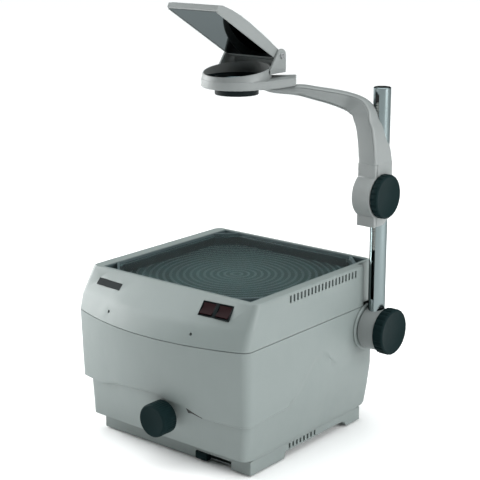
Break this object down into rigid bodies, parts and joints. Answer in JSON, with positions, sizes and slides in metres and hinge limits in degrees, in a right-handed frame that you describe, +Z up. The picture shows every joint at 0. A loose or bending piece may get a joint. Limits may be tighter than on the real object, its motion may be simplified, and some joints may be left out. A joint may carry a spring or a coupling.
{
  "type": "overhead projector",
  "caption": "Overhead projector with a hinged square glass stage, lamp house with changer and fan, folding chrome post, focus carriage, projection head and tilting mirror.",
  "frame": {"origin": "centre of the bounding box on the table, under the projector", "axes": "+X to the right along the front face, +Y to the back, +Z up, with the row at rest as pictured"},
  "size_m": [0.3864, 0.3844, 0.6654],
  "materials": {
    "casing": "fine textured moulding, pale grey green",
    "arm_casing": "smooth moulding, pale grey",
    "stage_lining": "satin grey green",
    "knob": "satin dark green black",
    "foot_rubber": "matt black",
    "trim": "satin black",
    "rocker_red": "translucent dark red",
    "chrome": "polished",
    "steel": "zinc plated",
    "aluminium": "plain sheet",
    "clear_glass": "clear, polished",
    "fresnel": "finely grooved acrylic",
    "rack_plastic": "moulded acetal",
    "copper_windings": "varnished windings on a lacquered core",
    "ceramic": "unglazed",
    "mirror": "front silvered"
  },
  "bodies": {
    "base": {"base_tray": "casing", "foot_front_left": "foot_rubber", "foot_front_right": "foot_rubber", "foot_rear_left": "foot_rubber", "foot_rear_right": "foot_rubber", "lower_housing": "casing", "lid_hinge_pin_left": "steel", "lid_hinge_pin_right": "steel", "power_inlet": "trim", "transformer": "copper_windings", "fan_housing": "trim", "lamp_rail": "aluminium", "reflector": "mirror", "condenser_bracket": "aluminium", "heat_glass": "clear_glass", "thermal_cutout": "ceramic", "post_flange": "casing", "pivot_shaft": "steel"},
    "stage_lid": {"upper_housing": "casing", "stage_frame": "stage_lining", "stage_glass": "clear_glass", "fresnel_lens": "fresnel", "switch_panel": "trim", "front_badge": "trim"},
    "power_rocker": {"power_switch": "rocker_red"},
    "brightness_rocker": {"brightness_switch": "rocker_red"},
    "lamp_changer": {"lamp_carriage": "aluminium", "lamp_main": "clear_glass", "lamp_spare": "clear_glass", "lamp_change_tab": "knob"},
    "fringe_control": {"fringe_shaft": "steel", "fringe_cam": "ceramic", "fringe_knob": "knob"},
    "condenser": {"condenser_holder": "aluminium", "condenser_lens": "clear_glass"},
    "fan_wheel": {"fan_rotor": "knob"},
    "post": {"post_hub": "arm_casing", "post_tube": "chrome", "post_cap": "chrome", "focus_rack": "rack_plastic", "rack_stop": "foot_rubber"},
    "post_lock": {"lock_knob": "knob"},
    "focus_carriage": {"arm_shell": "arm_casing", "focus_cover": "arm_casing", "arm_cover": "arm_casing", "cover_screw_left": "steel", "cover_screw_right": "steel", "slide_bush_lower": "rack_plastic", "slide_bush_upper": "rack_plastic", "head_housing": "arm_casing", "head_liner": "trim", "lens_barrel": "trim", "objective_lens_lower": "clear_glass", "objective_lens_upper": "clear_glass", "mirror_pin_left": "steel", "mirror_pin_right": "steel"},
    "focus_wheel": {"pinion_shaft": "steel", "focus_knob": "knob"},
    "mirror": {"mirror_lid": "arm_casing", "mirror_glass": "mirror"}
  },
  "joints": [
    {"name": "lid_open", "type": "hinge", "parent": "base", "child": "stage_lid", "pos_m": [-0.0192, 0.18825, 0.1993], "axis": [-1, 0, 0], "range_deg": [0, 55]},
    {"name": "power_switch_rock", "type": "hinge", "parent": "stage_lid", "child": "power_rocker", "pos_m": [0.06478, -0.13322, 0.24754], "axis": [0.9973, 0.0732, 0], "range_deg": [0, 12]},
    {"name": "brightness_switch_rock", "type": "hinge", "parent": "stage_lid", "child": "brightness_rocker", "pos_m": [0.09271, -0.13117, 0.24754], "axis": [0.9973, 0.0732, 0], "range_deg": [0, 12]},
    {"name": "lamp_change", "type": "slide", "parent": "base", "child": "lamp_changer", "axis": [1, 0, 0], "range_m": [0, 0.045]},
    {"name": "fringe_turn", "type": "hinge", "parent": "base", "child": "fringe_control", "pos_m": [0.0063, 0.03225, 0.0804], "axis": [0, -1, 0], "range_deg": [-60, 60]},
    {"name": "condenser_lift", "type": "slide", "parent": "base", "child": "condenser", "axis": [0, 0, 1], "range_m": [-0.0041, 0.0041]},
    {"name": "fan_spin", "type": "hinge", "parent": "base", "child": "fan_wheel", "pos_m": [-0.0792, 0.16225, 0.1], "axis": [0, 1, 0], "continuous": true},
    {"name": "post_fold", "type": "hinge", "parent": "base", "child": "post", "pos_m": [0.1595, 0.15425, 0.1645], "axis": [1, 0, 0], "range_deg": [0, 60]},
    {"name": "lock_turn", "type": "hinge", "parent": "base", "child": "post_lock", "pos_m": [0.1808, 0.15425, 0.1645], "axis": [1, 0, 0], "range_deg": [0, 270]},
    {"name": "focus_slide", "type": "slide", "parent": "post", "child": "focus_carriage", "axis": [0, 0, 1], "range_m": [-0.08, 0.08]},
    {"name": "focus_turn", "type": "hinge", "parent": "focus_carriage", "child": "focus_wheel", "pos_m": [0.1595, 0.13675, 0.38], "axis": [1, 0, 0], "range_deg": [-920, 920]},
    {"name": "mirror_tilt", "type": "hinge", "parent": "focus_carriage", "child": "mirror", "pos_m": [-0.0192, 0.07625, 0.583], "axis": [1, 0, 0], "range_deg": [-50, 40]}
  ],
  "couplings": [
    {"joint": "condenser_lift", "follows": "fringe_turn", "m_per_rad": 0.0038197},
    {"joint": "focus_turn", "follows": "focus_slide", "rad_per_m": -200}
  ]
}
